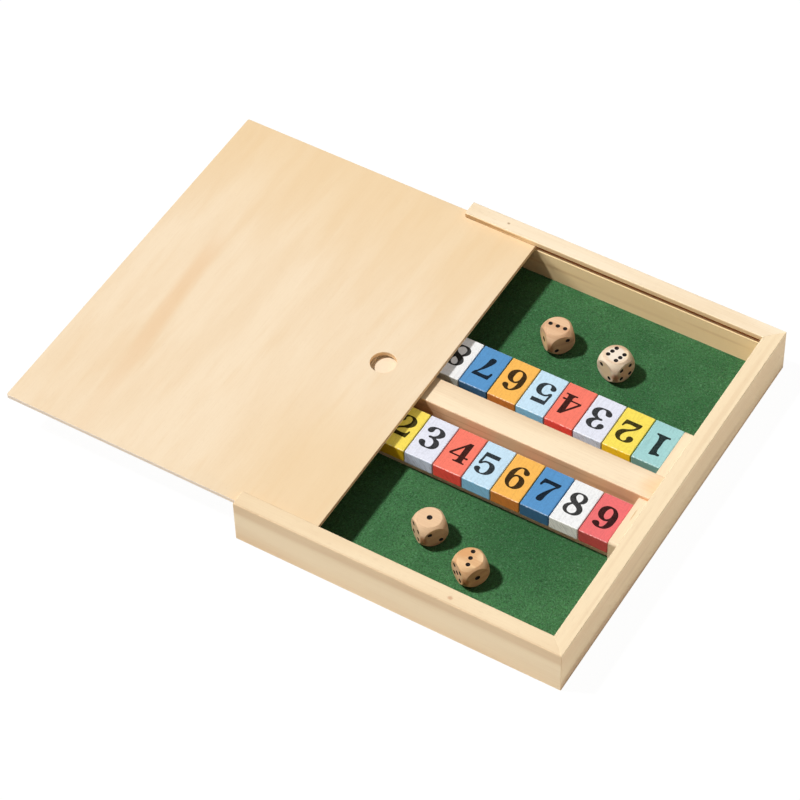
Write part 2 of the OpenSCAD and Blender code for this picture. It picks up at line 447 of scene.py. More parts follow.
def felt_sheet(name, side):
    """side is -1 in front and 1 at the back."""
    long_side = inner_x - felt_room
    tray_y = inner_y - felt_room
    notch_x = bed_end - felt_room
    notch_y = row_far + felt_room
    rest_y = rest_far + felt_room
    width = 2 * long_side
    depth = tray_y - rest_y
    select_only()
    bpy.ops.mesh.primitive_grid_add(
        x_subdivisions=round(width / felt_cell), y_subdivisions=round(depth / felt_cell), size=1,
        location=(0, side * (tray_y + rest_y) / 2 * MM, felt_top * MM))
    felt = bpy.context.object
    felt.name = name
    felt.scale = (width * MM, depth * MM, 1)
    bpy.ops.object.transform_apply(location=True, rotation=True, scale=True)
    bpy.ops.object.mode_set(mode="EDIT")
    cut_line((notch_x, 0, 0), (1, 0, 0))
    cut_line((-notch_x, 0, 0), (1, 0, 0))
    cut_line((0, side * notch_y, 0), (0, 1, 0))
    bpy.ops.mesh.select_mode(type="FACE")
    bpy.ops.object.mode_set(mode="OBJECT")
    for face in felt.data.polygons:
        face.select = abs(face.center.x) > notch_x * MM and abs(face.center.y) < notch_y * MM
    bpy.ops.object.mode_set(mode="EDIT")
    bpy.ops.mesh.delete(type="FACE")
    bpy.ops.object.mode_set(mode="OBJECT")
    nap = bpy.data.textures.new(name + "_nap", "CLOUDS")
    nap.noise_scale = nap_size * MM
    finish_with(felt, "DISPLACE", texture=nap, strength=nap_height * MM, mid_level=1.0,
                texture_coords="LOCAL", direction="Z")
    finish_with(felt, "SOLIDIFY", thickness=(felt_top - felt_low) * MM, offset=-1)
    smooth(felt, 60)
    return felt


def make_felt_material():
    """Green wool felt: short hairs in curls, paler where they stand up, darker between.

    What it throws back on the wood around it is kept brown, as in the photograph."""
    material, tree, surface = new_material("green_felt", 1.0, Specular_IOR_Level=0.1,
                                           Sheen_Weight=0.15, Sheen_Roughness=0.6)
    where = object_place(tree)
    swirl = noise(tree, where, 0.35, 2.0).outputs["Color"]
    curled = vectors(tree, "ADD", where, stretch(tree, swirl, (3.5, 3.5, 1)))
    clumps = noise(tree, curled, 0.9, 3.0, 0.6).outputs[0]
    hairs = noise(tree, stretch(tree, curled, (1.7, 0.75, 1.5)), 1.0, 3.0, 0.65).outputs[0]
    hairs_across = noise(tree, stretch(tree, curled, (0.75, 1.8, 1.5)), 1.0, 3.0, 0.65).outputs[0]
    pale_hairs = ramp(tree, hairs, 0.5, 0.7, 0.0, 0.42)
    dark_gaps = ramp(tree, hairs_across, 0.48, 0.68, 0.0, 0.8)
    patches = noise(tree, where, 0.06, 2.0).outputs[0]
    across = add_node(tree, "SeparateXYZ", {0: where}).outputs["Y"]
    faded = reckon(tree, "ADD", ramp(tree, patches, 0.3, 0.7, 0.0, 0.5),
                   ramp(tree, across, 60, -90, 0.0, 0.55))
    away = ramp(tree, vectors(tree, "DISTANCE", where, fresh_spot), fresh_near, fresh_far)
    base = blend_colours(tree, reckon(tree, "MULTIPLY", faded, away), colour("#2e703d"),
                         colour("#4c8d55"))
    clumped = blend_colours(tree, ramp(tree, clumps, 0.35, 0.7, 0.0, 0.7), base, colour("#235029"))
    darker = blend_colours(tree, dark_gaps, clumped, colour("#1b4122"))
    haired = blend_colours(tree, pale_hairs, darker, colour("#74a880"))
    bounced = add_node(tree, "LightPath").outputs["Is Diffuse Ray"]
    toned = blend_colours(tree, reckon(tree, "MULTIPLY", bounced, 0.85), haired, colour("#3c2817"))
    tree.links.new(toned, surface.inputs["Base Color"])
    raise_surface(tree, surface, reckon(tree, "ADD", hairs, clumps), 0.6)
    return material


green_felt = make_felt_material()
for tray, side in (("front", -1), ("back", 1)):
    felt = felt_sheet(tray + "_felt_sheet", side)
    put_on(felt, green_felt)
    stand_for(felt, tray + "_felt", "box")


# Tile bed
# A bar down the middle, a strip under the free ends of each row, and four blocks that
# hold the rods. All are the same pale wood, planed and glued to the bottom panel.
bar_half = 8.75
bar_top = 22
rest_top = 10.5
rest_near = 23.9
block_top = 20.5
bar_edge = 0.5
block_felt_edge = 2.0
block_bar_edge = 1.2

bar = timber("centre_bar_wood", (-inner_x, -bar_half, panel_t), (inner_x, bar_half, bar_top))
round_edges(bar, bar_edge)
smooth(bar)
bar_wood = wood("bar_wood", "#fce8c9", "#c1966a", (40, 4, -46), ring_width=10, rings=0.45,
                fibres=0.45, wander=6)
# Both ends on top, the left one painted light under the finger hole, and the browner front with five
# thin streaks
add_marks(bar_wood,
          ((-83.5, 0, bar_top), (16, 12, 3), "#fce9d0", 0.8, 0.6),
          ((88, 0, bar_top), (14, 11, 3), "#f2bf84", 0.45),
          ((0, -bar_half, 13), (500, 1.5, 10), "#ddae86", 0.9, 0.8),
          ((-30, -bar_half, 16.5), (40, 1.5, 0.8), "#8f5a35", 0.25),
          ((35, -bar_half, 18), (34, 1.5, 0.7), "#8f5a35", 0.25),
          ((-20, -bar_half, 12), (45, 1.5, 1.5), "#7c4a2c", 0.2),
          ((20, -bar_half, 11.6), (26, 1.5, 1.9), "#8a5a38", 0.2),
          ((62, -bar_half, 13.5), (30, 1.5, 2.8), "#7f4f31", 0.25))
put_on(bar, bar_wood)
stand_for(bar, "centre_bar", "box")

bed_wood = wood("bed_wood", "#fdebcd", "#dfbc8d", (-30, 45, 60), ring_width=7, fibres=0.6)
for row, side in (("front", -1), ("back", 1)):
    ys = sorted((side * rest_near, side * rest_far))
    strip = timber(row + "_tile_rest_wood", (-bed_end, ys[0], panel_t), (bed_end, ys[1], rest_top))
    round_edges(strip, bar_edge)
    smooth(strip)
    put_on(strip, bed_wood)
    stand_for(strip, row + "_tile_rest", "box")


def round_chosen(piece, is_chosen, radius, steps):
    """Rounds the edges whose two ends pass a test."""
    select_only(piece)
    bpy.ops.object.mode_set(mode="EDIT")
    bpy.ops.mesh.select_mode(type="EDGE")
    bpy.ops.mesh.select_all(action="DESELECT")
    bpy.ops.object.mode_set(mode="OBJECT")
    corners = piece.data.vertices
    for edge in piece.data.edges:
        edge.select = is_chosen([corners[i].co for i in edge.vertices])
    bpy.ops.object.mode_set(mode="EDIT")
    bpy.ops.mesh.bevel(offset=radius * MM, segments=steps)
    bpy.ops.object.mode_set(mode="OBJECT")


def round_long_edge(piece, y, z, radius):
    """Rounds the edge that runs along X at a place in the YZ plane."""
    def is_there(ends):
        return all(abs(e.y - y * MM) < MM / 10 and abs(e.z - z * MM) < MM / 10 for e in ends)

    round_chosen(piece, is_there, radius, steps=6)


block_wood = wood("block_wood", "#fce9cb", "#dcba8c", (-20, 12, 34), grain="y", ring_width=9,
                  rings=0.2, fibres=0.35, wander=4)
add_marks(block_wood, ((84.6, -21.1, block_top), (0.55, 6.0, 2.0), "#c8a45e", 0.6))
for row, side in (("front", -1), ("back", 1)):
    for end, towards in (("left", -1), ("right", 1)):
        xs = sorted((towards * bed_end, towards * inner_x))
        ys = sorted((side * bar_half, side * row_far))
        block = timber(f"{row}_{end}_block_wood", (xs[0], ys[0], panel_t), (xs[1], ys[1], block_top))
        round_long_edge(block, side * row_far, block_top, block_felt_edge)
        round_long_edge(block, side * bar_half, block_top, block_bar_edge)
        round_edges(block, cut_edge, steps=2, sharper_than=50)
        smooth(block)
        put_on(block, block_wood)
        stand_for(block, f"{row}_{end}_block", "box")


# Rods
# One length of drawn steel wire for each row, pushed through the bores of its nine
# tiles and into a blind hole in the block at either end.
def make_steel():
    material, tree, surface = new_material("rod_steel", 0.3, Metallic=1.0)
    where = object_place(tree)
    drawn = noise(tree, stretch(tree, where, (0.08, 6, 6)), 1.0).outputs[0]
    shade = blend_colours(tree, drawn, colour("#9c9ea1"), colour("#d3d5d7"))
    tree.links.new(shade, surface.inputs["Base Color"])
    tree.links.new(ramp(tree, drawn, 0.2, 0.8, 0.22, 0.4), surface.inputs["Roughness"])
    return material


rod_steel = make_steel()
for rod in ("front_rod", "back_rod"):
    put_on(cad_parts[rod], rod_steel)


# Tiles
# Nine beech tiles in each row, each bored near the end by the bar, rounded at its
# edges and sprayed in its own satin colour.
tile_w = 17.45
tile_gap = 0.5
tile_edge = 0.6
tile_top = 19.5
row_right = 81.2
rod_y = 18.9
rod_z = 15
bore_r = 1.55
row_count = 9
row_near = 14.4
row_middle = (row_near + row_far) / 2
# The paint of each number, and the deeper tone of its ends: partly end grain, partly painted shade
paint_codes = (("#94c2c4", "#75a4a2"), ("#e7d153", "#f8ce20"), ("#d5d8e6", "#cfdaef"),
               ("#e5705e", "#ee4f44"), ("#b8d4e7", "#89c5e9"), ("#e7ac4e", "#cb7c34"),
               ("#4a86ba", "#376389"), ("#e1e3e5", "#e1e6e0"), ("#da6466", "#b94846"))


def column_left(column):
    """Left edge of a tile in a column, counted from the left."""
    return row_right - (row_count + 1 - column) * (tile_w + tile_gap) + tile_gap


def make_paint(name, code, end_shade_code, saw_marks):
    """Satin paint, sprayed thinly: fibres and saw marks on the ends show, the ends partly painted
    shade, the top rims a painted highlight.
    """
    material, tree, surface = new_material(name, 0.42, Specular_IOR_Level=0.4)
    where = object_place(tree)
    fibres = noise(tree, stretch(tree, where, (1.3, 0.1, 1.3)), 1.0, 3.0, 0.7).outputs[0]
    mottle = noise(tree, where, 0.9, 3.0, 0.6).outputs[0]
    body = colour(code)
    # The ends take a deeper tone, partly from the end grain and partly painted shade
    end_tone_and_shade = colour(end_shade_code)
    thin = [c * 0.74 for c in body[:3]] + [1]
    sawn = [c * 0.4 for c in end_tone_and_shade[:3]] + [1]
    rim_highlight = [c + (1 - c) * 0.3 for c in body[:3]] + [1]
    fibred = blend_colours(tree, ramp(tree, fibres, 0.45, 0.75, 0.0, 0.6), body, thin)
    patched = blend_colours(tree, ramp(tree, mottle, 0.4, 0.7, 0.0, 0.45), fibred, thin)
    place = add_node(tree, "SeparateXYZ", {0: where}).outputs
    along = reckon(tree, "ABSOLUTE", place["Y"])
    from_middle = reckon(tree, "ABSOLUTE", reckon(tree, "SUBTRACT", along, row_middle))
    half_long = row_middle - row_near
    on_end = ramp(tree, from_middle, half_long - tile_edge, half_long)
    ended = blend_colours(tree, on_end, patched, end_tone_and_shade)
    slanted = object_place(tree, turn=(0, 35, 0))
    strokes = noise(tree, stretch(tree, slanted, (2.6, 0.4, 0.22)), 1.0, 2.0).outputs[0]
    scored = reckon(tree, "MULTIPLY", ramp(tree, strokes, 0.46, 0.7, 0.0, saw_marks), on_end)
    sawn_end = blend_colours(tree, scored, ended, sawn)
    # A painted highlight along the top rims of the ends, broken up by the mottle
    at_rim = reckon(tree, "MULTIPLY",
                    ramp(tree, from_middle, half_long - tile_edge, half_long - tile_edge / 2),
                    ramp(tree, place["Z"], tile_top - tile_edge, tile_top - tile_edge / 2))
    rim_highlight_share = reckon(tree, "MULTIPLY", at_rim, ramp(tree, mottle, 0.4, 0.6))
    rim_highlighted = blend_colours(tree, rim_highlight_share, sawn_end, rim_highlight)
    tree.links.new(rim_highlighted, surface.inputs["Base Color"])
    tree.links.new(ramp(tree, mottle, 0.3, 0.7, 0.36, 0.5), surface.inputs["Roughness"])
    raise_surface(tree, surface, reckon(tree, "MULTIPLY_ADD", mottle, 0.5, fibres), 0.06)
    return material


def first_tile():
    left = column_left(1)
    tile = timber("tile_pattern", (left, -row_far, rest_top), (left + tile_w, -row_near, tile_top))
    round_edges(tile, tile_edge, steps=4)
    cut_away(tile, drill(bore_r, tile_w + 2 * past, (left + tile_w / 2, -rod_y, rod_z), sides=32,
                         turn=(0, math.pi / 2, 0)))
    smooth(tile, 40)
    return tile


def copy_of(piece, name, movement):
    """A copy with its own mesh, moved within it, so that its object stays at the origin."""
    twin = piece.copy()
    twin.data = piece.data.copy()
    twin.name = name
    twin.data.name = name
    twin.data.transform(movement)
    bpy.context.scene.collection.objects.link(twin)
    return twin


half_turn = Matrix.Rotation(math.pi, 4, "Z")
# The two palest paints show the saw marks most
paints = [make_paint(f"tile_paint_{n}", *codes, saw_marks=0.55 if n in (3, 8) else 0.3)
          for n, codes in enumerate(paint_codes, start=1)]
tile_pattern = first_tile()
painted_tiles = []
for number in range(1, row_count + 1):
    along = Matrix.Translation(((column_left(number) - column_left(1)) * MM, 0, 0))
    # The bed isn't quite the same on the left and right, so a half turn needs a shift back
    column = row_count + 1 - number
    turned_left = -column_left(1) - tile_w
    across = Matrix.Translation(((column_left(column) - turned_left) * MM, 0, 0)) @ half_turn
    for row, movement in (("front", along), ("back", across)):
        tile = copy_of(tile_pattern, f"{row}_tile_{number}_painted", movement)
        put_on(tile, paints[number - 1])
        stand_for(tile, f"{row}_tile_{number}", f"{row}_tile_{number}")
        painted_tiles.append(tile)
bpy.data.objects.remove(tile_pattern)


# Numerals
# Bold numerals with ball ends, pad printed in near-black ink on each tile's top. They
# face the player of their own row. A corner point carries a third value.
ink_proud = 0.04
ink_sunk = 0.02
CORNER = 0
numeral_outlines = {
    1: [[(1.9, 8.2, CORNER), (1.8, 3.0), (1.8, -3.6), (2.6, -5.6), (3.9, -6.2), (4.2, -6.9),
         (3.8, -7.3, CORNER), (-4.0, -7.2, CORNER), (-4.2, -6.5), (-3.9, -6.0), (-2.6, -5.8),
         (-1.8, -4.4), (-1.6, 0.0), (-1.7, 4.6), (-2.3, 5.8), (-3.7, 6.1), (-4.0, 6.8),
         (-3.6, 7.4), (-1.8, 7.6), (0.4, 8.2, CORNER)]],
    2: [[(-4.9, 4.2), (-3.8, 6.5), (0.4, 7.6), (4.2, 6.6), (5.85, 3.4), (4.6, 0.3), (0.7, -1.8),
         (-1.4, -3.1), (-2.5, -4.75, CORNER), (2.6, -4.9), (4.1, -4.3), (4.7, -2.9), (5.2, -2.4),
         (5.6, -3.0), (5.5, -4.6), (5.0, -7.6, CORNER), (-4.9, -7.6, CORNER), (-4.8, -6.2),
         (-3.8, -3.8), (-1.9, -1.8), (0.4, -0.1), (2.0, 1.9), (2.6, 4.2), (1.9, 6.0), (0.5, 6.7),
         (-0.8, 6.3), (-1.3, 5.3), (-1.0, 4.0), (-1.7, 2.7), (-3.0, 2.3), (-4.3, 2.8)]],
    3: [[(-6.1, 6.8), (-4.7, 8.7), (-1.3, 9.6), (2.7, 8.9), (4.65, 6.2), (3.6, 3.9),
         (1.2, 2.3, CORNER), (3.6, 1.2), (4.95, -1.8), (3.5, -4.7), (-0.6, -5.85), (-4.7, -5.2),
         (-6.4, -2.8), (-5.9, -1.7), (-4.8, -1.3), (-3.1, -1.8), (-2.5, -3.1), (-1.9, -4.4),
         (-0.7, -4.9), (0.8, -4.1), (1.4, -1.8), (0.7, 0.2), (-1.0, 1.4), (-2.9, 1.6),
         (-3.3, 2.2), (-2.8, 2.8), (-0.9, 3.1), (0.6, 4.3), (1.1, 6.1), (0.5, 7.9), (-0.9, 8.7),
         (-2.2, 8.1), (-2.4, 6.5), (-2.9, 5.3), (-4.5, 4.8), (-5.8, 5.5)]],
    4: [[(1.3, 8.8, CORNER), (3.6, 8.8, CORNER), (3.4, -1.35, CORNER), (5.2, -1.3), (5.5, -1.8),
         (5.2, -2.35), (3.4, -2.4, CORNER), (3.4, -4.2), (3.9, -5.2), (4.9, -5.3), (5.2, -5.8),
         (4.9, -6.25, CORNER), (-1.7, -6.25, CORNER), (-2.0, -5.8), (-1.7, -5.3), (-0.6, -5.1),
         (0.0, -4.2), (0.1, -2.35, CORNER), (-6.0, -2.3, CORNER), (-6.2, -1.2, CORNER)],
        [(-4.5, -1.3, CORNER), (0.1, -1.3, CORNER), (0.1, 5.0, CORNER)]],
    5: [[(-6.1, 8.25, CORNER), (2.75, 8.3, CORNER), (2.8, 5.5, CORNER), (-4.95, 5.45, CORNER),
         (-5.2, 1.3, CORNER), (-3.9, 2.3), (-1.6, 2.7), (2.2, 1.6), (3.6, -1.9), (2.2, -5.4),
         (-1.9, -6.9), (-5.6, -6.1), (-7.0, -4.1), (-6.4, -3.0), (-5.2, -2.55), (-3.8, -3.2),
         (-3.6, -4.6), (-3.2, -5.6), (-2.1, -6.1), (-0.5, -5.2), (0.35, -2.2), (-0.3, 0.4),
         (-1.9, 1.4), (-3.7, 0.9), (-5.2, -0.6), (-6.0, -0.8), (-6.55, -0.3), (-6.4, 3.6)]],
    6: [[(-1.1, 8.5), (2.2, 7.6), (3.8, 5.6), (3.3, 4.4), (2.0, 4.0), (0.7, 4.6), (0.2, 5.8),
         (-0.3, 7.1), (-1.4, 7.5), (-2.7, 6.2), (-3.4, 3.8), (-3.6, 1.5, CORNER), (-2.4, 2.3),
         (-0.7, 2.6), (2.8, 1.3), (4.15, -2.2), (2.7, -6.0), (-1.3, -7.4), (-5.3, -5.4),
         (-6.7, -0.2), (-5.6, 5.3)],
        [(-1.4, 1.35), (0.1, 0.3), (0.55, -2.6), (0.0, -5.4), (-1.4, -6.4), (-2.8, -5.4),
         (-3.35, -2.4), (-2.8, 0.3)]],
    7: [[(-5.6, 7.85, CORNER), (4.7, 7.6, CORNER), (4.2, 5.5), (2.6, 3.6), (1.2, 0.2), (0.4, -3.2),
         (0.1, -6.0), (-0.5, -7.1), (-1.8, -7.45), (-3.2, -7.1), (-3.7, -5.9), (-2.9, -3.0),
         (-1.2, 0.2), (1.0, 3.4), (2.2, 5.1, CORNER), (-3.6, 5.1), (-4.7, 4.6), (-5.1, 3.3),
         (-5.7, 2.65), (-6.4, 3.2), (-6.2, 5.2)]],
    8: [[(-0.9, 8.5), (-4.5, 7.4), (-5.95, 4.6), (-5.2, 2.0), (-3.6, 0.45, CORNER), (-5.5, -1.2),
         (-6.3, -3.7), (-4.9, -6.3), (-0.9, -7.3), (3.0, -6.2), (4.5, -3.2), (3.7, -0.5),
         (1.5, 1.5, CORNER), (3.1, 2.9), (3.7, 5.0), (2.6, 7.4)],
        [(-1.2, 7.5), (0.4, 6.6), (1.0, 4.4), (0.6, 2.9), (-0.1, 2.1, CORNER), (-2.2, 3.7),
         (-3.1, 5.7), (-2.6, 7.0)],
        [(-2.5, -0.2, CORNER), (-0.2, -1.2), (1.2, -2.6), (1.4, -4.3), (0.3, -5.8), (-1.4, -6.2),
         (-3.2, -5.3), (-3.8, -3.5), (-3.4, -1.6)]],
    9: [[(-0.6, 8.4), (-4.5, 7.0), (-5.9, 3.4), (-4.6, -0.4), (-1.0, -2.0), (0.5, -1.8),
         (1.6, -1.3, CORNER), (1.4, -3.6), (0.7, -5.5), (-0.4, -6.3), (-1.2, -6.0), (-1.5, -4.9),
         (-2.1, -3.9), (-3.4, -3.4), (-5.0, -3.9), (-5.75, -5.0), (-4.4, -6.6), (-0.8, -7.4),
         (3.3, -5.9), (5.3, 0.4), (3.9, 6.1)],
        [(-0.5, 7.1), (-1.8, 5.8), (-2.3, 2.8), (-1.7, 0.5), (-0.3, -0.5), (1.2, 0.4), (1.8, 3.2),
         (1.1, 6.0)]],
}
# How far each numeral is printed off its tile's middle: to the right, and up
front_shifts = ((0, 0.8), (0, 1.3), (-0.2, 1.0), (0.3, 0.4), (-1.1, -0.1), (-0.7, -0.2),
                (-0.4, -0.4), (-0.4, -0.1), (0.1, -0.2))
back_shifts = ((-0.4, 1.0), (0.4, 0.75), (0.6, 0.3), (1.0, 0.1), (-0.4, -0.5), (-0.25, -0.7),
               (0.1, -0.85), (0.3, -1.1), (0, -1.0))


def numeral(number):
    """The printed numeral as a thin film, with the middle of its outline at the origin."""
    outlines = numeral_outlines[number]
    across = [p[0] for p in outlines[0]]
    up = [p[1] for p in outlines[0]]
    middle = Vector(((min(across) + max(across)) / 2, (min(up) + max(up)) / 2, 0))
    drawn = bpy.data.curves.new(f"numeral_{number}", "CURVE")
    drawn.dimensions = "2D"
    drawn.fill_mode = "BOTH"
    drawn.resolution_u = 6
    drawn.extrude = (ink_proud + ink_sunk) / 2 * MM
    for outline in outlines:
        spline = drawn.splines.new("BEZIER")
        spline.bezier_points.add(len(outline) - 1)
        spline.use_cyclic_u = True
        for point, spot in zip(spline.bezier_points, outline):
            point.co = (Vector((spot[0], spot[1], 0)) - middle) * MM
            kind = "VECTOR" if len(spot) == 3 else "AUTO"
            point.handle_left_type = kind
            point.handle_right_type = kind
    piece = bpy.data.objects.new(f"numeral_{number}", drawn)
    bpy.context.scene.collection.objects.link(piece)
    select_only(piece)
    bpy.ops.object.convert(target="MESH")
    return bpy.context.object


def make_ink(name, paint_code):
    """Near-black ink, thin enough for a little of the paint to show through."""
    material, tree, surface = new_material(name, 0.7, Specular_IOR_Level=0.04)
    speckle = noise(tree, object_place(tree), 1.4, 3.0, 0.7).outputs[0]
    paint = colour(paint_code)[:3]
    full = [c * 0.035 + 0.004 for c in paint] + [1]
    thin = [c * 0.1 + 0.012 for c in paint] + [1]
    shade = blend_colours(tree, ramp(tree, speckle, 0.35, 0.75), full, thin)
    tree.links.new(shade, surface.inputs["Base Color"])
    return material


ink_z = tile_top + (ink_proud - ink_sunk) / 2
for number in range(1, row_count + 1):
    printed = numeral(number)
    ink = make_ink(f"numeral_ink_{number}", paint_codes[number - 1][0])
    for row, way, column, shifts, turn in (
            ("front", 1, number, front_shifts, Matrix()),
            ("back", -1, row_count + 1 - number, back_shifts, half_turn)):
        to_right, up = shifts[number - 1]
        middle_x = column_left(column) + tile_w / 2
        spot = Vector((middle_x + way * to_right, way * (up - row_middle), ink_z)) * MM
        film = copy_of(printed, f"{row}_numeral_{number}", Matrix.Translation(spot) @ turn)
        put_on(film, ink)
        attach(film, f"{row}_tile_{number}")
    bpy.data.objects.remove(printed)


# Dice
# Four 16 mm dice of waxed beech, tumbled until the corners are round. The pips are
# drilled dimples filled with black.
die_size = 16
die_round = 10.5
die_face_edge = 0.3
pip_step = 3.2
pip_r = 1.3
ace_r = 1.6
pip_depth = 0.6
die_spots = ((-15.5, 75.4, 48), (22.8, 73.2, 71), (-8.2, -77.2, 53), (24.3, -89.8, 57.5))
# Numbers on top, in front and on the left of each die, and quarter turns of their pips
die_faces = ((3, 2, 1), (6, 4, 2), (1, 2, 4), (3, 1, 5))
die_turns = ((1, 0, 0), (1, 0, 0), (0, 1, 0), (0, 0, 0))
die_tones = (("#f3cca6", "#b87748"), ("#feecd2", "#b9783f"), ("#f5d2ac", "#bd7d51"),
             ("#f5cc9c", "#bd7338"))
die_piths = ((0, -70, -34), (0, -73, -45), (12, 70, 30), (-20, 82, 22))
die_rings = (0.35, 0.55, 0.25, 0.4)
# Paler places of painted light on the faces and corners of the dice, and a darker tone on the fourth
# one's top
die_tones_and_painted_light = (
    (((-20.8, 69.4, 13), (5.5, 5.5, 6), "#ffd39c", 0.9, 0.6),),
    (((30.4, 70.6, 13), (5.5, 5.5, 6), "#ffd8b5", 0.9, 0.6),
     ((20.2, 65.6, 13.5), (6.5, 3, 7), "#ffe4bb", 0.9, 0.6),
     ((22.8, 73.2, 21), (6, 6, 2), "#fffaf0", 0.6, 0.7),
     ((28.3, 76.7, 19.5), (4.5, 4.5, 3), "#ffe9c4", 0.7, 0.6)),
    (),
    (((19.5, -86, 21), (5.5, 6.5, 8), "#e3a468", 0.6, 0.6),
     ((29.8, -86.3, 19.5), (4.5, 4.5, 3), "#ffdcae", 0.6, 0.6),
     ((20, -96.5, 14), (5.5, 5.5, 6), "#ffd2ac", 0.9, 0.6)),
)
pip_places = {1: [(0, 0)], 2: [(1, 1), (-1, -1)]}
pip_places[3] = pip_places[2] + pip_places[1]
pip_places[4] = pip_places[2] + [(1, -1), (-1, 1)]
pip_places[5] = pip_places[4] + pip_places[1]
pip_places[6] = pip_places[4] + [(1, 0), (-1, 0)]


def face_turns(faces, turns):
    """Each face's number with the turn that brings the top face to it."""
    quarter = math.pi / 2
    around = [Matrix.Rotation(quarter * t, 4, "Z") for t in turns]
    return (
        (faces[0], around[0]),
        (faces[1], Matrix.Rotation(quarter, 4, "X") @ around[1]),
        (faces[2], Matrix.Rotation(-quarter, 4, "Y") @ around[2]),
        (7 - faces[0], Matrix.Rotation(math.pi, 4, "X")),
        (7 - faces[1], Matrix.Rotation(-quarter, 4, "X")),
        (7 - faces[2], Matrix.Rotation(quarter, 4, "Y")),
    )


def pip_drills(faces, turns, material):
    """Balls that cut all 21 dimples of one die at the origin."""
    balls = []
    for number, turn in face_turns(faces, turns):
        dimple_r = ace_r if number == 1 else pip_r
        ball_r = (dimple_r ** 2 + pip_depth ** 2) / (2 * pip_depth)
        for spot in pip_places[number]:
            middle = Vector((spot[0] * pip_step, spot[1] * pip_step,
                             die_size / 2 - pip_depth + ball_r))
            select_only()
            bpy.ops.mesh.primitive_uv_sphere_add(segments=24, ring_count=16, radius=ball_r * MM,
                                                 location=turn @ (middle * MM))
            balls.append(bpy.context.object)
    select_only(balls[0])
    for ball in balls:
        ball.select_set(True)
    bpy.ops.object.join()
    drills = bpy.context.object
    bpy.ops.object.transform_apply(location=True, rotation=True, scale=True)
    put_on(drills, material)
    return drills


def make_die(name, faces, turns, spot, wood_material, pip_material):
    half = die_size / 2
    die = timber(name, (-half, -half, -half), (half, half, half))
    put_on(die, wood_material, pip_material)
    select_only()
    bpy.ops.mesh.primitive_ico_sphere_add(subdivisions=5, radius=die_round * MM)
    ball = bpy.context.object
    put_on(ball, wood_material)
    finish_with(die, "BOOLEAN", object=ball, operation="INTERSECT", solver="EXACT",
                material_mode="TRANSFER")
    bpy.data.objects.remove(ball)
    round_edges(die, die_face_edge, steps=3, sharper_than=25)
    cut_away(die, pip_drills(faces, turns, pip_material), material_mode="TRANSFER")
    smooth(die, 40)
    where = Vector((spot[0], spot[1], felt_top + half)) * MM
    die.data.transform(Matrix.Translation(where) @ Matrix.Rotation(math.radians(spot[2]), 4, "Z"))
    return die


def make_pip_black():
    material, tree, surface = new_material("pip_black", 0.6, Specular_IOR_Level=0.15)
    speckle = noise(tree, object_place(tree), 3.0).outputs[0]
    shade = blend_colours(tree, speckle, colour("#0a0605"), colour("#1a1210"))
    tree.links.new(shade, surface.inputs["Base Color"])
    return material


pip_black = make_pip_black()
for index, spot in enumerate(die_spots):
    name = f"die_{index + 1}"
    pale, dark = die_tones[index]
    grain_wood = wood(name + "_beech", pale, dark, die_piths[index], ring_width=5,
                      rings=die_rings[index], fibres=0.5, wander=6, roughness=0.42, depth=0.03)
    # Painted shade: the foot is darkened, and the upright corner between the two sides in view is
    # painted darkest
    turn = math.radians(spot[2] + 225)
    shaded_corner = (spot[0] + die_round * math.cos(turn), spot[1] + die_round * math.sin(turn), 12)
    add_marks(grain_wood,
              ((spot[0], spot[1], felt_top), (16, 16, 6.5), "#7d4422", 0.45),
              (shaded_corner, (3.4, 3.4, 5), "#b0683a", 0.65, 0.4),
              *die_tones_and_painted_light[index])
    die = make_die(name + "_beech", die_faces[index], die_turns[index], spot, grain_wood, pip_black)
    stand_for(die, name, name)


# Lid
# One sheet of thin birch plywood with a finger hole, sanded on both faces, which slides
# in the rails' grooves. It stands drawn out by 150 mm.
lid_low = 23.55
lid_high = 26.35
lid_left = -251
lid_right = -54
lid_half_w = 122.9
lid_edge = 0.2
lid_corner = 1.0
ply_core_half = 0.46
ply_blur = 0.06
hole_r = 7.5
hole_inset = 29.5
streak_x = -213
streak_lean = -0.065
streak_half_w = 8
# The streak is full between the first pair of places across the lid. It thins out
# towards the front and is gone at the back, at the second pair
streak_full = (-30, 10)
streak_ends = (-110, 50)


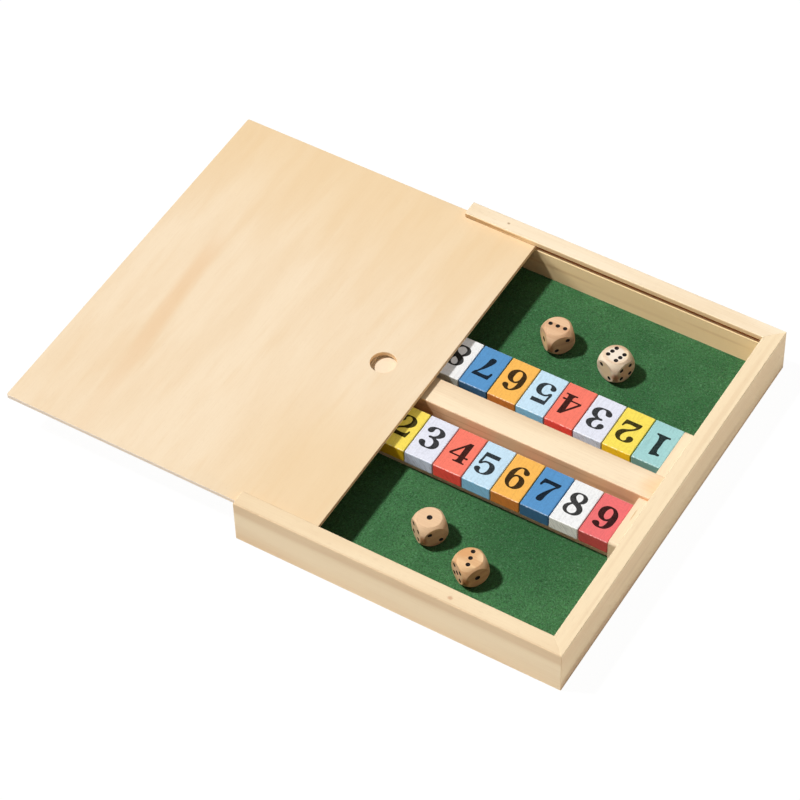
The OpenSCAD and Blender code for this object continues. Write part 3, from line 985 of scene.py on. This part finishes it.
def make_veneer():
    """Peeled birch veneer, nearly plain: faint waves along the grain, one brownish streak."""
    material, tree, surface = new_material("lid_veneer", 0.5, Specular_IOR_Level=0.35)
    where = object_place(tree)
    broad = noise(tree, stretch(tree, where, (0.05, 0.009, 0.1)), 1.0, 3.0, 0.55).outputs[0]
    flame = noise(tree, stretch(tree, where, (0.16, 0.02, 0.1)), 1.0, 2.0).outputs[0]
    fibre = noise(tree, stretch(tree, where, (1.9, 0.05, 1.9)), 1.0, 4.0, 0.65).outputs[0]
    dash = noise(tree, stretch(tree, where, (4.2, 0.35, 4.2)), 1.0, 1.0).outputs[0]
    pores = ramp(tree, dash, 0.64, 0.74)
    base = blend_colours(tree, ramp(tree, broad, 0.35, 0.68), colour("#fbe7ca"), colour("#f7e0c0"))
    flamed = blend_colours(tree, ramp(tree, flame, 0.5, 0.75, 0.0, 0.22), base, colour("#efcfa3"))
    fibred = blend_colours(tree, ramp(tree, fibre, 0.4, 0.7, 0.0, 0.12), flamed, colour("#e6c79b"))
    pored = blend_colours(tree, reckon(tree, "MULTIPLY", pores, 0.1), fibred, colour("#c49a66"))
    place = add_node(tree, "SeparateXYZ", {0: where}).outputs
    drift = reckon(tree, "MULTIPLY_ADD", place["Y"], streak_lean, streak_x)
    shaken = reckon(tree, "MULTIPLY_ADD", broad, 4.0, drift)
    off_streak = reckon(tree, "ABSOLUTE", reckon(tree, "SUBTRACT", place["X"], shaken))
    in_streak = ramp(tree, off_streak, 1.5, streak_half_w, 1.0, 0.0)
    to_back = ramp(tree, place["Y"], streak_full[1], streak_ends[1], 1.0, 0.0)
    to_front = ramp(tree, place["Y"], streak_ends[0], streak_full[0], 0.25, 1.0)
    streak = reckon(tree, "MULTIPLY", in_streak, reckon(tree, "MULTIPLY", to_back, to_front))
    streaked = blend_colours(tree, reckon(tree, "MULTIPLY", streak, 0.45), pored, colour("#ecc291"))
    wavy_y = reckon(tree, "MULTIPLY_ADD", broad, 60.0, place["Y"])
    at_back = ramp(tree, wavy_y, 50, 150)
    near_tray = reckon(tree, "MULTIPLY", ramp(tree, place["X"], -150, -70), ramp(tree, wavy_y, 20, -50))
    tint = reckon(tree, "MULTIPLY", reckon(tree, "MAXIMUM", at_back, near_tray), 0.5)
    tinted = blend_colours(tree, tint, streaked, colour("#f0cf9c"))
    tree.links.new(tinted, surface.inputs["Base Color"])
    raise_surface(tree, surface, reckon(tree, "SUBTRACT", fibre, pores), 0.03)
    return material


def make_ply_edge():
    """The three plies on a sawn edge, the middle one darker where its grain ends. Painted light makes
    the hole's wall and the long edges paler.
    """
    material, tree, surface = new_material("lid_ply_edge", 0.65, Specular_IOR_Level=0.25)
    where = object_place(tree)
    place = add_node(tree, "SeparateXYZ", {0: where}).outputs
    grit = noise(tree, stretch(tree, where, (1.5, 1.5, 3.0)), 1.0, 3.0, 0.7).outputs[0]
    middle = (lid_low + lid_high) / 2
    off_middle = reckon(tree, "ABSOLUTE", reckon(tree, "SUBTRACT", place["Z"], middle))
    core = ramp(tree, off_middle, ply_core_half - ply_blur, ply_core_half + ply_blur, 1.0, 0.0)
    plies = blend_colours(tree, core, colour("#f2dcba"), colour("#caa277"))
    gritty = blend_colours(tree, ramp(tree, grit, 0.4, 0.7, 0.0, 0.3), plies, colour("#94683f"))
    hole_middle = (lid_right - hole_inset, 0, middle)
    from_hole = vectors(tree, "DISTANCE", where, hole_middle)
    # Painted light: the wall of the finger hole is paler, without grit
    hole_painted_light = ramp(tree, from_hole, hole_r + 1, hole_r + 2, 0.8, 0.0)
    hole_lightened = blend_colours(tree, hole_painted_light, gritty, colour("#ffdcae"))
    # Painted light: the long edges have paler plies
    long_edge_lightened = blend_colours(tree, core, colour("#fff2e6"), colour("#f2dfc8"))
    on_long_edge = ramp(tree, reckon(tree, "ABSOLUTE", place["Y"]), lid_half_w - 1, lid_half_w - 0.3)
    both = blend_colours(tree, on_long_edge, hole_lightened, long_edge_lightened)
    tree.links.new(both, surface.inputs["Base Color"])
    raise_surface(tree, surface, grit, 0.08)
    return material


lid = timber("lid_plywood", (lid_left, -lid_half_w, lid_low), (lid_right, lid_half_w, lid_high))
round_chosen(lid, lambda ends: abs(ends[0].z - ends[1].z) > MM, lid_corner, steps=4)
cut_away(lid, drill(hole_r, 3 * (lid_high - lid_low), (lid_right - hole_inset, 0, lid_low), sides=72))
put_on(lid, make_veneer(), make_ply_edge())
for face in lid.data.polygons:
    face.material_index = 0 if abs(face.normal.z) > 0.5 else 1
round_edges(lid, lid_edge, steps=2, sharper_than=60)
smooth(lid)
stand_for(lid, "lid", "lid")


# Floor and light
# A white floor and an even white surround. One soft lamp high on the left throws the
# shadows, and three weaker ones lighten the sides and tops that it leaves too dark.
floor_size = 6
# The floor lies a hair below the tray's underside, so that the two never share a plane
floor_drop = 0.1
select_only()
bpy.ops.mesh.primitive_plane_add(size=floor_size, location=(0, 0, -floor_drop * MM))
floor = bpy.context.object
floor.name = "floor"
bpy.ops.object.transform_apply(location=True, rotation=True, scale=True)


def make_floor_white():
    """White to the eye, with a trace of the tray's shadow. It lights the tray as white card does."""
    material, tree, surface = new_material("floor_white", 0.9, Specular_IOR_Level=0.1)
    surface.inputs["Base Color"].default_value = (0.87, 0.87, 0.87, 1)
    glow = add_node(tree, "Emission", {"Color": (1, 1, 1, 1), "Strength": 1.03})
    rays = add_node(tree, "LightPath").outputs
    seen = reckon(tree, "MAXIMUM", rays["Is Camera Ray"], rays["Is Glossy Ray"])
    share = reckon(tree, "MULTIPLY", seen, 0.94)
    both = add_node(tree, "MixShader", {0: share, 1: surface.outputs[0], 2: glow.outputs[0]})
    tree.links.new(both.outputs[0], tree.nodes["Material Output"].inputs["Surface"])
    return material


put_on(floor, make_floor_white())


def gather(name, pieces):
    group = bpy.data.collections.new(name)
    for piece in pieces:
        group.objects.link(piece)
    return group


def add_sun(name, travel, energy, spread, tint=(1, 1, 1), lights=(), shaded_by=()):
    """A sun whose rays travel along a vector. It can be kept to the pieces that it lights."""
    data = bpy.data.lights.new(name, "SUN")
    data.energy = energy
    data.angle = math.radians(spread)
    data.color = tint
    sun = bpy.data.objects.new(name, data)
    sun.rotation_mode = "QUATERNION"
    sun.rotation_quaternion = Vector(travel).to_track_quat("-Z", "Y")
    bpy.context.scene.collection.objects.link(sun)
    if lights:
        sun.light_linking.receiver_collection = gather(name + "_lights", lights)
        sun.light_linking.blocker_collection = gather(name + "_shaded_by", shaded_by)


add_sun("key_lamp", (0.57, 0.23, -1), energy=3.0, spread=5.5, tint=(1.0, 0.985, 0.96))
# A card low in front lights the sides that face the front: the back rail's, the centre
# bar's and the ends of the tiles. Only the lid shades it
add_sun("fill_lamp", (0.3, 1, -0.22), energy=0.72, spread=8, tint=(1.0, 0.98, 0.92),
        lights=[back_rail, bar] + painted_tiles, shaded_by=[lid])
# The tiles' tops also get a soft light from above, which the lid doesn't shade
add_sun("top_lamp", (0, 0, -1), energy=0.76, spread=8, lights=painted_tiles, shaded_by=[floor])
# A low, warm card on the right lights the outside of the end rail, but not the trays
add_sun("card_lamp", (-1, 0.1, -0.12), energy=0.5, spread=6, tint=(1.0, 0.8, 0.52))

world = bpy.data.worlds.new("white_surround")
world.use_nodes = True
bpy.context.scene.world = world
sky = world.node_tree
ambient = sky.nodes["Background"]
ambient.inputs["Color"].default_value = (1.0, 0.93, 0.82, 1)
ambient.inputs["Strength"].default_value = 0.16
backdrop = add_node(sky, "Background", {"Color": (1, 1, 1, 1), "Strength": 1.0})
sky_rays = add_node(sky, "LightPath").outputs
in_sight = reckon(sky, "MAXIMUM", reckon(sky, "MAXIMUM", sky_rays["Is Camera Ray"],
                                         sky_rays["Is Glossy Ray"]), sky_rays["Is Transmission Ray"])
surround = add_node(sky, "MixShader", {0: in_sight, 1: ambient.outputs[0], 2: backdrop.outputs[0]})
sky.links.new(surround.outputs[0], sky.nodes["World Output"].inputs["Surface"])

bpy.context.scene.view_settings.view_transform = "Standard"
